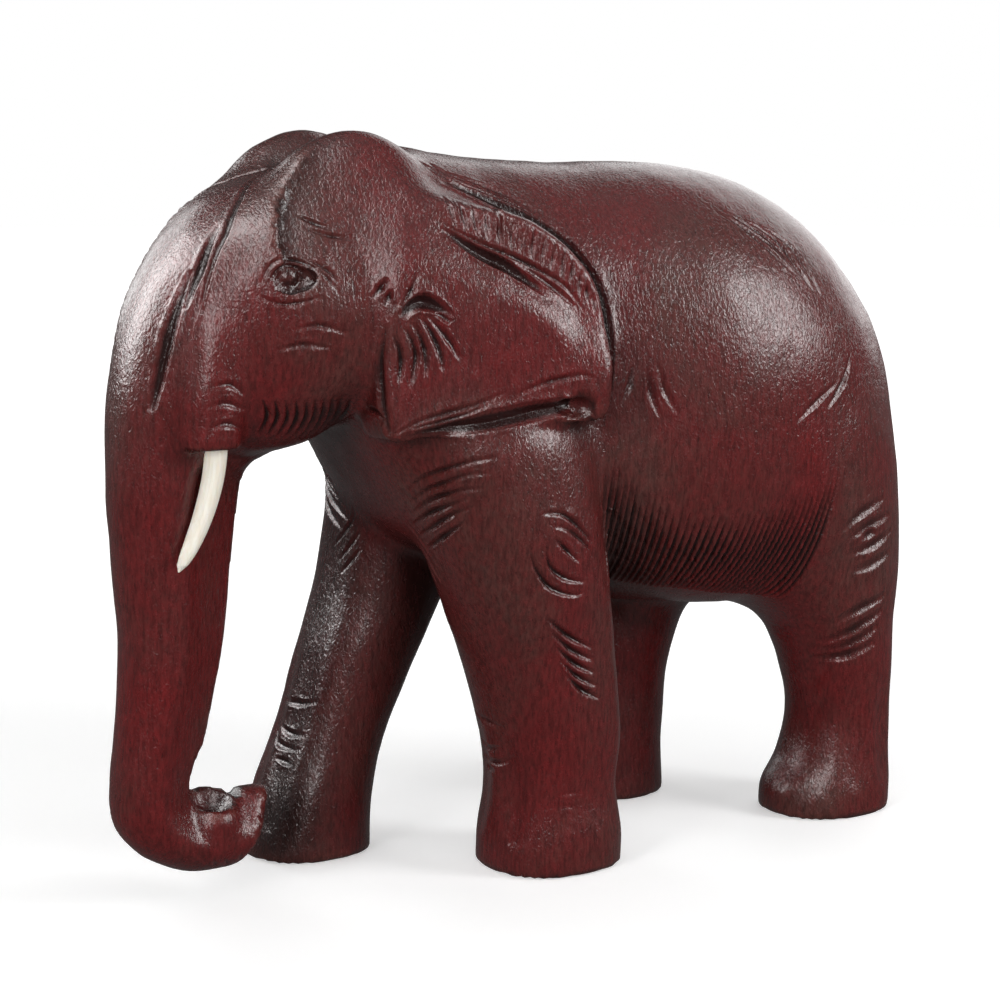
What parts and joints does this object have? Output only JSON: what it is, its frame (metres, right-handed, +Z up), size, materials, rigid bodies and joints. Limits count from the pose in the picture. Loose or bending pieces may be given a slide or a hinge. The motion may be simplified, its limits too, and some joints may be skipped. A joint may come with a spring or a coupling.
{
  "type": "carved wooden elephant",
  "caption": "Solid wood carving of a walking elephant with hanging trunk and separate ivory-coloured tusks glued into sockets; stands on flat soles.",
  "frame": {"origin": "on the ground plane, under the middle of the figure's length and width", "axes": "+Z up, the elephant faces -Y, its left side is +X"},
  "size_m": [0.1008, 0.2523, 0.2],
  "materials": {
    "stained_wood": "mahogany-red stain under satin lacquer, tool marks darker in the cuts",
    "ivory_resin": "cream satin resin, polished by hand"
  },
  "bodies": {
    "root": {"carved_body": "stained_wood", "tusk_left": "ivory_resin", "tusk_right": "ivory_resin"}
  },
  "joints": []
}
